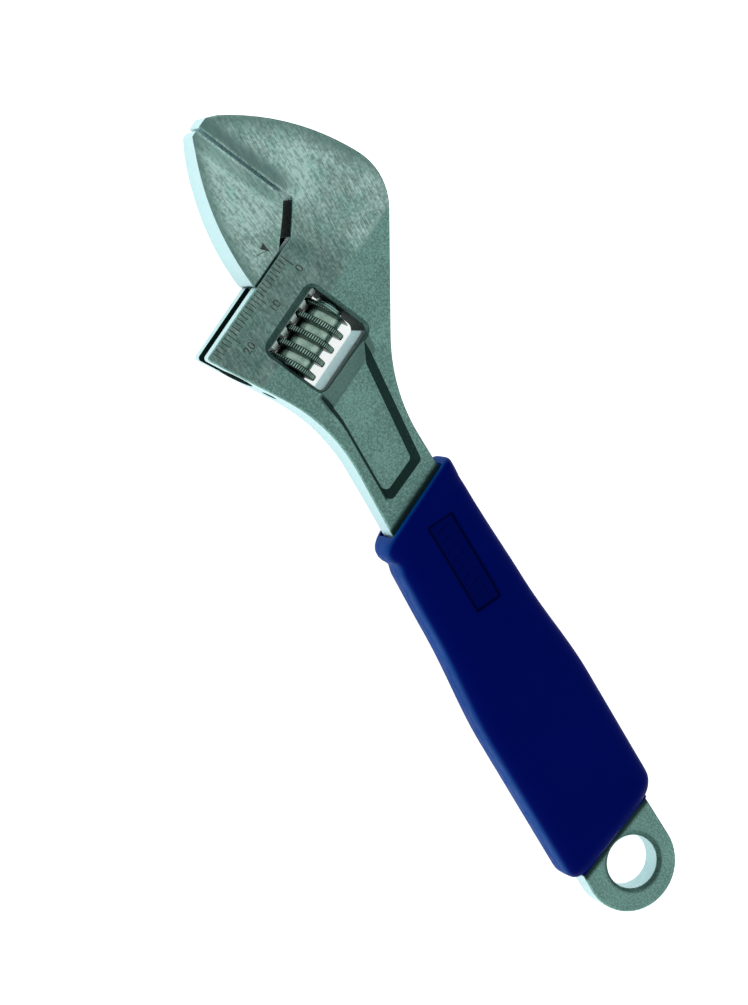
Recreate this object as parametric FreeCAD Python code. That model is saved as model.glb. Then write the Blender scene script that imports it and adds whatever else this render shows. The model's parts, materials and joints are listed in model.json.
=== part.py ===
"""Adjustable wrench of the 200 mm class, with a moulded grip sleeve.

The wrench lies flat: X runs along the handle towards the head, Y towards the
movable jaw and Z up through its thickness. It is drawn about the axis of the
hanging hole and moved at the end, so that the origin is the bottom centre of
its bounding box. Sizes are millimetres.
"""
import FreeCAD, Part
import math
import os

from FreeCAD import Placement, Rotation, Vector

# ---- overall -----------------------------------------------------------------
OVERALL_LENGTH = 200.0      # tail of the eye to the tip of the jaws
HEAD_ANGLE = 22.5           # slide direction, off square to the handle
EYE_RADIUS = 10.9           # round tail end
HANG_HOLE_RADIUS = 6.0
HANG_HOLE_CHAMFER = 0.7
HANG_HOLE_OFFSET = -0.5     # the punched hole lies off the middle of the eye

# ---- thickness, each a half of the full thickness ------------------------------
HEAD_HALF = 5.5
TIP_HALF = 4.2
SHANK_HALF = 3.5
HEAD_FLAT = 32.0            # flat of the head, back from the head point
NECK_RAMP = 34.0            # length over which the neck thins to the shank
TIP_TAPER = 27.0            # length over which the jaws thin to their tips
PROFILE_RADIUS = 60.0

# ---- head, in the head frame: P along the jaws, Q the way the jaw opens ---------
JAW_REACH = 28.8            # bed to jaw tips
FIXED_TIP = 2.5             # flat end of the fixed jaw
TIP_RADIUS = 0.6            # outer corner of that flat end
TIP_EDGE_RADIUS = 0.3       # working corner of both jaw tips
CROWN_END = 1.6             # where the crown stops, short of the tip
CROWN_RADIUS = 53.0
CROWN_CENTRE = (-6.8, 36.3)
SHOULDER_RADIUS = 13.8      # rounds the crown into the neck flare
FLARE_ANGLE = 31.2          # flare of the neck, each side of the handle axis
FLARE_HALF_WIDTH = 13.8
FLARE_BACK = 31.0           # where that half width lies, back from the head point
BED_LENGTH = 38.3           # fixed jaw face to the end of the bed
THROAT_HEIGHT = 4.4         # relief between the fixed jaw face and the bed
THROAT_LENGTH = 7.0
THROAT_RADIUS = 1.0
BED_END_RADIUS = 0.8
BEAM_BREAK = 2.0            # end of the beam, before it meets the flared edge
NECK_RADIUS = 40.0
NECK_HALF_WIDTH = 7.6
EDGE_RADIUS = 0.5           # rounded outer edges of the forging

# ---- scoop along the working edges -----------------------------------------------
SCOOP_RADIUS = 8.0
SCOOP_DEPTH = 0.65          # at the root of the jaw
SCOOP_TIP_DEPTH = 0.45      # at the tip of the jaw
SCOOP_INSET = 0.8           # deepest line, in from the working edge
SCOOP_START = 7.5           # P of the rounded inner end of the scoop

# ---- movable jaw -------------------------------------------------------------------
REST_GAP = 0.8              # between the jaw faces as the wrench lies
JAW_TIP = 1.5               # flat end of the movable jaw
JAW_LENGTH = 19.2           # working face to heel
JAW_BULGE = 2.3             # how far the outer curve stands off its chord
JAW_RELIEF_HEIGHT = 5.8
JAW_RELIEF_LENGTH = 10.6
JAW_RELIEF_RADIUS = 1.2
JAW_RELIEF_CORNER = 0.5     # eased upper corner of the relief
BED_CLEARANCE = 0.2
HEEL_CHAMFER = 0.6
HEEL_LAND = 0.1             # short flat between the heel and its chamfer

# ---- slide: slot, keyway bore, key and rack ------------------------------------------
KEY_RADIUS = 3.85
KEY_CLEARANCE = 0.1
KEY_DEPTH = 8.5             # bed to the key axis
KEY_START = -3.3            # key ends, from the working face of the jaw
KEY_END = 27.7
BORE_END_CLEARANCE = 1.6    # beyond the key with the jaw closed
WEB_THICKNESS = 4.0
WEB_CLEARANCE = 0.15
WEB_START = 11.2            # from the working face of the jaw
WEB_END = 19.0

# ---- worm ------------------------------------------------------------------------------
WORM_DEPTH = 16.8           # bed to the worm axis
WORM_RADIUS = 6.0
WORM_ROOT_RADIUS = 4.1
WORM_LENGTH = 15.0
WORM_PITCH = 3.5
CREST_WIDTH = 1.1
THREAD_ROOT_WIDTH = 1.7
THREAD_SINK = 0.6           # how far the thread is rooted in the barrel
CREST_PLACE = 18.45         # Q of a crest where the worm meets the rack
WORM_END_CHAMFER = 0.5
WORM_END_CLEARANCE = 0.12
BACKLASH = 0.25             # each side of a thread in its rack groove
RACK_ROOT_CLEARANCE = 0.35

# ---- worm window --------------------------------------------------------------------------
WINDOW_TOP = 9.1            # bed to the near edge
WINDOW_BEYOND_WORM = 2.3      # between the thread and the far wall
WINDOW_WIDTH = WORM_DEPTH + WORM_RADIUS + WINDOW_BEYOND_WORM - WINDOW_TOP
WINDOW_START = 12.3
WINDOW_LENGTH = 16.9
WINDOW_RADIUS = 1.8
WINDOW_BEVEL = 0.8

# ---- worm pin and spring --------------------------------------------------------------------
PIN_RADIUS = 1.6
PIN_CLEARANCE = 0.02
PIN_DEPTH = 5.0             # beyond the window into the head
PIN_END_CLEARANCE = 0.3
PIN_RECESS = 0.9            # below the end of the beam
PIN_SLOT_WIDTH = 0.6
PIN_SLOT_DEPTH = 0.7
WORM_BORE_CLEARANCE = 0.1
SPRING_WIRE_RADIUS = 0.25
SPRING_RADIUS = 2.9
SPRING_TURNS = 2.0
SPRING_SIDES = 8            # flats of the simplified wire section

# ---- sunk panel on both faces of the neck -----------------------------------------------------
PANEL_DEPTH = 1.5
PANEL_WALL = 1.6            # plan width of its sloping walls
PANEL_STEEP_WALL = 0.6      # plan width of the wall on the movable jaw's side
PANEL_RAMP = 4.6            # plan width of the slope beside the window
PANEL_LEFT_MARGIN = 2.3     # between the panel and the edges of the neck
PANEL_RIGHT_MARGIN = 2.0
PANEL_LEFT_END = 0.9        # ahead of the mouth of the grip
PANEL_RIGHT_END = 5.1
PANEL_INTO_WINDOW = 1.0
PANEL_PAST_WINDOW = 0.4     # beyond the far end of the window
PANEL_INSIDE_WINDOW = 1.7   # short of the near end of the window
PANEL_KNEE = 8.0            # from the window to the bend of the left edge
PANEL_KNEE_RADIUS = 6.0
PANEL_CORNER = 1.3
PANEL_MOUTH_CORNER = 0.8

# ---- grip sleeve ---------------------------------------------------------------------------------
GRIP_HALF = 7.0             # half thickness
GRIP_MOUTH_BACK = 63.4      # head point to the mouth, on the handle axis
GRIP_MOUTH_HALF_WIDTH = 11.0
GRIP_WAIST_X = 66.0
GRIP_WAIST_HALF_WIDTH = 12.0
GRIP_SWELL_X = 47.0
GRIP_SWELL_HALF_WIDTH = 13.9
GRIP_TAIL_X = 7.4           # tail end of the sleeve, on the handle axis
GRIP_TAIL_ANGLE = 16.8
GRIP_MOUTH_CORNER = 2.5
GRIP_TAIL_CORNER = 3.5
GRIP_SIDE_RADIUS = 60.0     # blends the waist and the swell
GRIP_EDGE_RADIUS = 3.5
GRIP_CLEARANCE = 0.05

SLOPE = math.radians(HEAD_ANGLE)
BEYOND = 20.0               # how far a cutting tool runs past what it cuts
PROUD = 1.0                 # how far it stands off a face where room is short
CLOSE = 0.1                 # two places nearer than this count as one

# The head point is where the line of the bed meets the fixed jaw face.
HEAD_X = OVERALL_LENGTH - EYE_RADIUS - JAW_REACH * math.cos(SLOPE) - FIXED_TIP * math.sin(SLOPE)
HEAD_Y = -11.7              # head point, off the handle axis
HEAD_FRAME = Placement(Vector(HEAD_X, HEAD_Y, 0), Rotation(Vector(0, 0, 1), HEAD_ANGLE))

WORM_START = WINDOW_START + WINDOW_LENGTH - WORM_END_CLEARANCE - WORM_LENGTH
ALONG_Q = Rotation(Vector(1, 0, 0), -90)   # turns +Z on to the slide direction


def head(p, q):
    """Point of the wrench that is p along the jaws and q along the slide."""
    return HEAD_FRAME.multVec(Vector(p, q, 0))


def in_head(shape):
    """Move a shape drawn in the head frame into the wrench."""
    shape = shape.copy()
    shape.Placement = HEAD_FRAME.multiply(shape.Placement)
    return shape


def rounded_path(corners):
    """Edges through (point, radius) corners, each inner corner a tangent arc."""
    edges = []
    last = corners[0][0]
    for i in range(1, len(corners) - 1):
        point, radius = corners[i]
        before = (corners[i - 1][0] - point).normalize()
        after = (corners[i + 1][0] - point).normalize()
        half = before.getAngle(after) / 2
        if radius == 0:
            edges.append(Part.LineSegment(last, point).toShape())
            last = point
            continue
        run = radius / math.tan(half)
        centre = point + (before + after).normalize() * (radius / math.sin(half))
        middle = centre + (point - centre).normalize() * radius
        start = point + before * run
        end = point + after * run
        edges.append(Part.LineSegment(last, start).toShape())
        edges.append(Part.Arc(start, middle, end).toShape())
        last = end
    edges.append(Part.LineSegment(last, corners[-1][0]).toShape())
    return edges


def rounded_face(corners):
    """Closed face whose every (point, radius) corner is rounded."""
    middle = (corners[-1][0] + corners[0][0]) * 0.5
    path = [(middle, 0)] + corners + [(middle, 0)]
    return Part.Face(Part.Wire(rounded_path(path)))


def slab(face, half):
    """Extrude a face drawn at mid thickness by half to each side."""
    face = face.copy()
    face.translate(Vector(0, 0, -half))
    return face.extrude(Vector(0, 0, 2 * half))


def rod(radius, p, q_start, q_end):
    """Cylinder along the slide direction, in the head frame."""
    return Part.makeCylinder(radius, q_end - q_start, Vector(p, q_start, 0), Vector(0, 1, 0))


def thickness_profile(grow=0):
    """Side view of the forging: thick head, thin shank, tapering jaws."""
    head_back = HEAD_X - HEAD_FLAT
    tips = HEAD_X + TIP_TAPER
    taper = (HEAD_HALF - TIP_HALF) / TIP_TAPER
    upper = [
        (-EYE_RADIUS - BEYOND, SHANK_HALF, 0),
        (head_back - NECK_RAMP, SHANK_HALF, PROFILE_RADIUS),
        (head_back, HEAD_HALF, PROFILE_RADIUS),
        (HEAD_X, HEAD_HALF, PROFILE_RADIUS),
        (tips + BEYOND, TIP_HALF - taper * BEYOND, 0),
    ]
    corners = [(Vector(x, 0, z + grow), radius) for x, z, radius in upper]
    corners += [(Vector(x, 0, -z - grow), radius) for x, z, radius in reversed(upper)]
    face = rounded_face(corners)
    face.translate(Vector(0, -3 * BEYOND, 0))
    return face.extrude(Vector(0, 6 * BEYOND, 0))


def flare_point(distance, side):
    """Point on the flared edge of the neck, distance ahead of its reference."""
    half_width = FLARE_HALF_WIDTH + distance * math.tan(math.radians(FLARE_ANGLE))
    return Vector(HEAD_X - FLARE_BACK + distance, side * half_width, 0)


def neck_corner(side):
    """Where the flared edge would meet the edge of the shank."""
    drop = FLARE_HALF_WIDTH - NECK_HALF_WIDTH
    return flare_point(-drop / math.tan(math.radians(FLARE_ANGLE)), side)


def shoulder_arc():
    """Arc tangent to the flared edge and inside the crown, neck end first."""
    centre = head(*CROWN_CENTRE)
    foot = flare_point(0, -1)
    along = (flare_point(1, -1) - foot).normalize()
    inward = Vector(-along.y, along.x, 0)
    base = foot + inward * SHOULDER_RADIUS - centre
    reach = CROWN_RADIUS - SHOULDER_RADIUS
    b = base.dot(along)
    run = -b + math.sqrt(b * b - base.dot(base) + reach * reach)
    middle = centre + base + along * run
    on_flare = middle - inward * SHOULDER_RADIUS
    on_crown = middle + (middle - centre).normalize() * SHOULDER_RADIUS
    halfway = (on_flare + on_crown) * 0.5 - middle
    return on_flare, middle + halfway.normalize() * SHOULDER_RADIUS, on_crown


def crown_height(p):
    """Q of the crown at a place p along the jaws."""
    p0, q0 = CROWN_CENTRE
    return q0 - math.sqrt(CROWN_RADIUS ** 2 - (p - p0) ** 2)


def forging_face():
    """Outline of the body without the eye."""
    on_flare, on_shoulder, on_crown = shoulder_arc()
    tip_p = JAW_REACH - CROWN_END
    crown_end = head(tip_p, crown_height(tip_p))
    centre = head(*CROWN_CENTRE)
    halfway = (on_crown + crown_end) * 0.5 - centre
    crown_middle = centre + halfway.normalize() * CROWN_RADIUS
    flare_run = (head(0, BED_LENGTH) - flare_point(0, 1)).x
    corners = [
        (crown_end, 0),
        (head(JAW_REACH, -FIXED_TIP), TIP_RADIUS),
        (head(JAW_REACH, 0), TIP_EDGE_RADIUS),
        (head(THROAT_HEIGHT, 0), THROAT_RADIUS),
        (head(0, THROAT_LENGTH), THROAT_RADIUS),
        (head(0, BED_LENGTH), BED_END_RADIUS),
        (flare_point(flare_run - BEAM_BREAK, 1), 0),
        (neck_corner(1), NECK_RADIUS),
        (Vector(0, EYE_RADIUS, 0), 0),
        (Vector(0, -EYE_RADIUS, 0), 0),
        (neck_corner(-1), NECK_RADIUS),
        (on_flare, 0),
    ]
    edges = rounded_path(corners)
    edges.append(Part.Arc(on_flare, on_shoulder, on_crown).toShape())
    edges.append(Part.Arc(on_crown, crown_middle, crown_end).toShape())
    return Part.Face(Part.Wire(edges))


def scoops(edge_q, side):
    """Hollows along a working edge, on both faces; side is -1 for the fixed jaw."""
    tools = []
    drop = (HEAD_HALF - SCOOP_DEPTH) - (TIP_HALF - SCOOP_TIP_DEPTH)
    tilt = math.degrees(math.atan(drop / JAW_REACH))
    for face in (1, -1):
        height = HEAD_HALF - SCOOP_DEPTH + SCOOP_RADIUS
        root = Vector(0, edge_q + side * SCOOP_INSET, face * height)
        start = root + Vector(SCOOP_START, 0, 0)
        shape = Part.makeCylinder(SCOOP_RADIUS, JAW_REACH, start, Vector(1, 0, 0))
        shape = shape.fuse(Part.makeSphere(SCOOP_RADIUS, start))
        shape.rotate(root, Vector(0, 1, 0), face * tilt)
        tools.append(shape)
    return tools


def window_face(grow):
    """Outline of the worm window, grown all round."""
    top = -WINDOW_TOP + grow
    bottom = -WINDOW_TOP - WINDOW_WIDTH - grow
    start = WINDOW_START - grow
    end = WINDOW_START + WINDOW_LENGTH + grow
    radius = WINDOW_RADIUS + grow
    plan = [(top, start), (top, end), (bottom, end), (bottom, start)]
    return rounded_face([(Vector(p, q, 0), radius) for p, q in plan])


def window_tools():
    """The window and the bevel round its rim on both faces."""
    tools = [slab(window_face(0), BEYOND)]
    for face in (1, -1):
        rim = window_face(0).OuterWire.copy()
        rim.translate(Vector(0, 0, face * (HEAD_HALF - WINDOW_BEVEL)))
        outer = window_face(2 * WINDOW_BEVEL).OuterWire.copy()
        outer.translate(Vector(0, 0, face * (HEAD_HALF + WINDOW_BEVEL)))
        tools.append(Part.makeLoft([rim, outer], True, True))
    return tools


def inset(ring, distances):
    """Points of a ring whose sides are moved inwards, each by its distance.

    The ring runs anticlockwise, and its first side starts at its first point.
    """
    moved = []
    for i, here in enumerate(ring):
        after = ring[(i + 1) % len(ring)]
        a = (here - ring[i - 1]).normalize()
        b = (after - here).normalize()
        in_a = distances[i - 1]
        in_b = distances[i]
        cross = a.x * b.y - a.y * b.x
        moved.append(here + (b * in_a - a * in_b) * (1 / cross))
    return moved


def panel_tool():
    """Sunk panel of the upper face, its floor parallel to the ramp of the neck."""
    inside_window = -WINDOW_TOP - WINDOW_WIDTH + PANEL_INTO_WINDOW
    left = NECK_HALF_WIDTH - PANEL_LEFT_MARGIN
    right = -NECK_HALF_WIDTH + PANEL_RIGHT_MARGIN
    mouth_x = HEAD_X - GRIP_MOUTH_BACK
    near_left = head(inside_window, WINDOW_START + WINDOW_LENGTH + PANEL_PAST_WINDOW)
    near_right = head(inside_window, WINDOW_START + PANEL_INSIDE_WINDOW)
    knee = Vector(near_left.x - PANEL_KNEE, left, 0)
    far_left = Vector(mouth_x + PANEL_LEFT_END, left, 0)
    far_right = Vector(mouth_x + PANEL_RIGHT_END, right, 0)
    ring = [near_left, knee, far_left, far_right, near_right]
    walls = [PANEL_STEEP_WALL, PANEL_STEEP_WALL, PANEL_WALL, PANEL_WALL, PANEL_RAMP]
    radii = [PANEL_MOUTH_CORNER, PANEL_KNEE_RADIUS, PANEL_CORNER, PANEL_CORNER, PANEL_MOUTH_CORNER]
    wires = []
    for height in (-PANEL_DEPTH, PROUD):
        plan = inset(ring, [-wall * height / PANEL_DEPTH for wall in walls])
        corners = [(point + Vector(0, 0, height), radius) for point, radius in zip(plan, radii)]
        wires.append(rounded_face(corners).OuterWire)
    tool = Part.makeLoft(wires, True, True)
    slope = math.degrees(math.atan((HEAD_HALF - SHANK_HALF) / NECK_RAMP))
    pivot = Vector(HEAD_X - HEAD_FLAT, 0, 0)
    tool.rotate(pivot, Vector(0, 1, 0), -slope)
    tool.translate(Vector(0, 0, HEAD_HALF))
    return tool


def beam_end(p):
    """Q of the slanting end of the beam at a place p."""
    return BED_LENGTH + p * math.tan(math.radians(FLARE_ANGLE - HEAD_ANGLE))


def hang_hole_tools():
    """The hanging hole and the chamfer of its rim on both faces."""
    base = Vector(0, HANG_HOLE_OFFSET, -BEYOND)
    tools = [Part.makeCylinder(HANG_HOLE_RADIUS, 2 * BEYOND, base)]
    for face in (1, -1):
        start = Vector(0, HANG_HOLE_OFFSET, face * (SHANK_HALF - HANG_HOLE_CHAMFER))
        rise = HANG_HOLE_CHAMFER + PROUD
        up = Vector(0, 0, face)
        tools.append(Part.makeCone(HANG_HOLE_RADIUS, HANG_HOLE_RADIUS + rise, rise, start, up))
    return tools


def outer_edges(body):
    """Edges round both faces, but for those of the jaw face, throat and bed."""
    to_head = HEAD_FRAME.inverse()
    chosen = []
    for edge in body.Edges:
        box = edge.BoundBox
        middle = to_head.multVec(edge.CenterOfMass)
        worked = middle.x > -CLOSE and middle.y > CLOSE - FIXED_TIP
        on_face = abs(box.ZMin) > SHANK_HALF - CLOSE and box.ZMin * box.ZMax > 0
        if on_face and not worked and box.DiagonalLength > 2 * TIP_RADIUS:
            ends = [v.Point for v in edge.Vertexes]
            across = len(ends) == 2 and abs(ends[0].x - ends[1].x) < CLOSE
            if not across:
                chosen.append(edge)
    return chosen


def wrench_body():
    """Forged body: fixed jaw, slide bed, worm window, neck, shank and eye."""
    plate = slab(forging_face(), HEAD_HALF + PROUD)
    tall = HEAD_HALF + PROUD
    eye = Part.makeCylinder(EYE_RADIUS, 2 * tall, Vector(0, 0, -tall))
    body = plate.fuse(eye).removeSplitter().common(thickness_profile())
    body = body.makeFillet(EDGE_RADIUS, outer_edges(body))

    bore_start = KEY_START - BORE_END_CLEARANCE
    slot_half = WEB_THICKNESS / 2 + WEB_CLEARANCE
    slot = Part.makeBox(KEY_DEPTH + BEYOND, BED_LENGTH + BEYOND, 2 * slot_half)
    slot.translate(Vector(-KEY_DEPTH, THROAT_LENGTH, -slot_half))
    pin_end = WINDOW_START - PIN_DEPTH
    cuts = [
        rod(KEY_RADIUS + KEY_CLEARANCE, -KEY_DEPTH, bore_start, BED_LENGTH + BEYOND),
        rod(PIN_RADIUS + PIN_CLEARANCE, -WORM_DEPTH, pin_end, BED_LENGTH + BEYOND),
        slot,
    ]
    cuts += window_tools()
    cuts += scoops(0, -1)
    for cut in cuts:
        body = body.cut(in_head(cut))

    panel = panel_tool()
    body = body.cut(panel)
    body = body.cut(panel.mirror(Vector(), Vector(0, 0, 1)))

    for tool in hang_hole_tools():
        body = body.cut(tool)
    return body


def jaw_face():
    """Outline of the movable jaw above the bed, at its resting place."""
    foot = BED_CLEARANCE
    tip = Vector(JAW_REACH, JAW_TIP, 0)
    heel = Vector(foot + HEEL_CHAMFER, JAW_LENGTH, 0)
    chord = heel - tip
    bulge = Vector(-chord.y, chord.x, 0).normalize() * -JAW_BULGE
    outer = Part.Arc(tip, (tip + heel) * 0.5 + bulge, heel).toShape()
    corners = [
        (heel, 0),
        (Vector(foot, JAW_LENGTH - HEEL_LAND, 0), 0),
        (Vector(foot, JAW_RELIEF_LENGTH, 0), JAW_RELIEF_RADIUS),
        (Vector(JAW_RELIEF_HEIGHT, JAW_RELIEF_CORNER, 0), JAW_RELIEF_CORNER),
        (Vector(JAW_RELIEF_HEIGHT + JAW_RELIEF_CORNER, 0, 0), 0),
        (Vector(JAW_REACH, 0, 0), TIP_EDGE_RADIUS),
        (tip, 0),
    ]
    face = Part.Face(Part.Wire(rounded_path(corners) + [outer]))
    face.translate(Vector(0, REST_GAP, 0))
    return face


def rack_groove(q):
    """Slanted trapezoid groove that a worm thread runs in."""
    crest = -WORM_DEPTH + WORM_RADIUS
    floor = crest + RACK_ROOT_CLEARANCE
    root = -WORM_DEPTH + WORM_ROOT_RADIUS
    flank = (THREAD_ROOT_WIDTH - CREST_WIDTH) / 2 / (WORM_RADIUS - WORM_ROOT_RADIUS)
    half_floor = CREST_WIDTH / 2 + BACKLASH
    half_mouth = half_floor + flank * (floor - root + PROUD)
    points = [Vector(floor, -half_floor, 0), Vector(floor, half_floor, 0),
              Vector(root - PROUD, half_mouth, 0), Vector(root - PROUD, -half_mouth, 0)]
    groove = slab(Part.Face(Part.makePolygon(points + points[:1])), KEY_RADIUS + PROUD)
    mesh_radius = (WORM_RADIUS + WORM_ROOT_RADIUS) / 2
    lead_angle = math.degrees(math.atan(WORM_PITCH / (2 * math.pi * mesh_radius)))
    groove.rotate(Vector(), Vector(1, 0, 0), lead_angle)
    groove.translate(Vector(0, q, 0))
    return groove


def movable_jaw():
    """Jaw, web and round key in one piece, with the rack cut in the key."""
    jaw = in_head(slab(jaw_face(), HEAD_HALF + PROUD)).common(thickness_profile())
    for scoop in scoops(REST_GAP, 1):
        jaw = jaw.cut(in_head(scoop))

    web_height = KEY_DEPTH + BED_CLEARANCE + PROUD
    web = Part.makeBox(web_height, WEB_END - WEB_START, WEB_THICKNESS)
    web.translate(Vector(-KEY_DEPTH, REST_GAP + WEB_START, -WEB_THICKNESS / 2))
    key_start = REST_GAP + KEY_START
    key_end = REST_GAP + KEY_END
    key = rod(KEY_RADIUS, -KEY_DEPTH, key_start, key_end)
    first = math.floor((key_start - CREST_PLACE) / WORM_PITCH)
    last = math.ceil((key_end - CREST_PLACE) / WORM_PITCH)
    for i in range(first, last + 1):
        key = key.cut(rack_groove(CREST_PLACE + i * WORM_PITCH))
    return jaw.fuse(in_head(web.fuse(key))).removeSplitter()


def thread():
    """Right-hand worm thread along +Z, its crest on +X at every whole pitch."""
    turns = math.ceil(WORM_LENGTH / WORM_PITCH) + 3
    path = Part.makeHelix(WORM_PITCH, turns * WORM_PITCH, WORM_ROOT_RADIUS)
    inner = WORM_ROOT_RADIUS - THREAD_SINK
    flank = (THREAD_ROOT_WIDTH - CREST_WIDTH) / 2 / (WORM_RADIUS - WORM_ROOT_RADIUS)
    half_crest = CREST_WIDTH / 2
    half_root = half_crest + flank * (WORM_RADIUS - inner)
    points = [Vector(inner, 0, -half_root), Vector(WORM_RADIUS, 0, -half_crest),
              Vector(WORM_RADIUS, 0, half_crest), Vector(inner, 0, half_root)]
    profile = Part.makePolygon(points + points[:1])
    return Part.Wire(path.Edges).makePipeShell([profile], True, True)


def worm_blank():
    """Room for the thread: flat ends whose rims slope off at 45 degrees."""
    rim = WORM_RADIUS - WORM_END_CHAMFER
    half = WORM_LENGTH / 2
    plan = [(0, 0), (rim, 0), (rim + half, half), (rim, WORM_LENGTH), (0, WORM_LENGTH)]
    points = [Vector(r, 0, z) for r, z in plan]
    return Part.Face(Part.makePolygon(points + points[:1])).revolve(Vector(), Vector(0, 0, 1))


def worm():
    """Adjusting worm: root barrel, one thread and a bore for its pin."""
    below = math.ceil((CREST_PLACE - WORM_START) / WORM_PITCH) + 1
    screw = thread()
    screw.translate(Vector(0, 0, CREST_PLACE - WORM_START - below * WORM_PITCH))
    barrel = Part.makeCylinder(WORM_ROOT_RADIUS, WORM_LENGTH)
    solid = barrel.fuse(screw.common(worm_blank()))
    base = Vector(0, 0, -PROUD)
    bore = Part.makeCylinder(PIN_RADIUS + WORM_BORE_CLEARANCE, WORM_LENGTH + 2 * PROUD, base)
    solid = solid.cut(bore)
    solid.Placement = Placement(Vector(-WORM_DEPTH, WORM_START, 0), ALONG_Q)
    return in_head(solid)


def worm_pin():
    """Plain pin of the worm, with a driver slot in its outer end."""
    start = WINDOW_START - PIN_DEPTH + PIN_END_CLEARANCE
    end = beam_end(-WORM_DEPTH) - PIN_RECESS
    pin = rod(PIN_RADIUS, -WORM_DEPTH, start, end)
    slot = Part.makeBox(4 * PIN_RADIUS, PIN_SLOT_DEPTH + PROUD, PIN_SLOT_WIDTH)
    slot.translate(Vector(-WORM_DEPTH - 2 * PIN_RADIUS, end - PIN_SLOT_DEPTH, -PIN_SLOT_WIDTH / 2))
    return in_head(pin.cut(slot))


def worm_spring():
    """Small coil that takes up the play at the upper end of the worm."""
    room = WORM_START - WINDOW_START
    rise = room - 2 * SPRING_WIRE_RADIUS - 2 * WORM_END_CLEARANCE
    path = Part.makeHelix(rise / SPRING_TURNS, rise, SPRING_RADIUS)
    points = []
    for i in range(SPRING_SIDES):
        angle = 2 * math.pi * (i + 0.5) / SPRING_SIDES
        across = SPRING_WIRE_RADIUS * math.cos(angle)
        points.append(Vector(SPRING_RADIUS + across, 0, SPRING_WIRE_RADIUS * math.sin(angle)))
    wire = Part.makePolygon(points + points[:1])
    coil = Part.Wire(path.Edges).makePipeShell([wire], True, True)
    bottom = WINDOW_START + SPRING_WIRE_RADIUS + WORM_END_CLEARANCE
    coil.Placement = Placement(Vector(-WORM_DEPTH, bottom, 0), ALONG_Q)
    return in_head(coil)


def grip_face():
    """Plan of the grip sleeve: slanted mouth, waist, swell and slanted tail."""
    mouth_x = HEAD_X - GRIP_MOUTH_BACK
    mouth_lean = math.tan(SLOPE)
    tail_lean = math.tan(math.radians(GRIP_TAIL_ANGLE))
    corners = []
    for side in (1, -1):
        mouth_y = side * GRIP_MOUTH_HALF_WIDTH
        tail_y = side * GRIP_SWELL_HALF_WIDTH
        run = [
            (Vector(mouth_x - mouth_y * mouth_lean, mouth_y, 0), GRIP_MOUTH_CORNER),
            (Vector(GRIP_WAIST_X, side * GRIP_WAIST_HALF_WIDTH, 0), GRIP_SIDE_RADIUS),
            (Vector(GRIP_SWELL_X, tail_y, 0), GRIP_SIDE_RADIUS),
            (Vector(GRIP_TAIL_X - tail_y * tail_lean, tail_y, 0), GRIP_TAIL_CORNER),
        ]
        corners += run if side == 1 else run[::-1]
    return rounded_face(corners)


def grip_sleeve():
    """Moulded sleeve with rounded sides, hollow where the shank passes."""
    sleeve = slab(grip_face(), GRIP_HALF)
    rims = [e for e in sleeve.Edges if e.BoundBox.ZLength < CLOSE]
    sleeve = sleeve.makeFillet(GRIP_EDGE_RADIUS, rims)
    hollow = slab(forging_face().makeOffset2D(GRIP_CLEARANCE), HEAD_HALF)
    return sleeve.cut(hollow.common(thickness_profile(GRIP_CLEARANCE)))


MAKERS = {
    "wrench_body": wrench_body,
    "movable_jaw": movable_jaw,
    "worm": worm,
    "worm_pin": worm_pin,
    "worm_spring": worm_spring,
    "grip_sleeve": grip_sleeve,
}


def build():
    """All pieces at rest, with the origin at the bottom centre of the box."""
    shapes = {name: make() for name, make in MAKERS.items()}
    box = Part.makeCompound(list(shapes.values())).optimalBoundingBox()
    centre = box.Center
    shift = Vector(-centre.x, -centre.y, -box.ZMin)
    for shape in shapes.values():
        shape.translate(shift)
    return shapes, shift


def main():
    os.makedirs("parts", exist_ok=True)
    shapes, shift = build()
    for name, shape in shapes.items():
        print(name, shape.ShapeType, len(shape.Solids), shape.isValid(), round(shape.Volume, 1))
        shape.exportStep(os.path.join("parts", name + ".step"))
    box = Part.makeCompound(list(shapes.values())).optimalBoundingBox()
    print("box", round(box.XLength, 2), round(box.YLength, 2), round(box.ZLength, 2))
    print("shift", round(shift.x, 3), round(shift.y, 3), round(shift.z, 3))
    return shapes, shift


main()
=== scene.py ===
"""Looks of the adjustable wrench: steels, worm, moulded grip sleeve and marks.

The wrench lies on a pale floor. X runs along the handle towards the head,
Y towards the movable jaw and Z up. Everything is in metres.
"""
import json
import math

import bmesh
import bpy
from mathutils import Matrix, Vector


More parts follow.
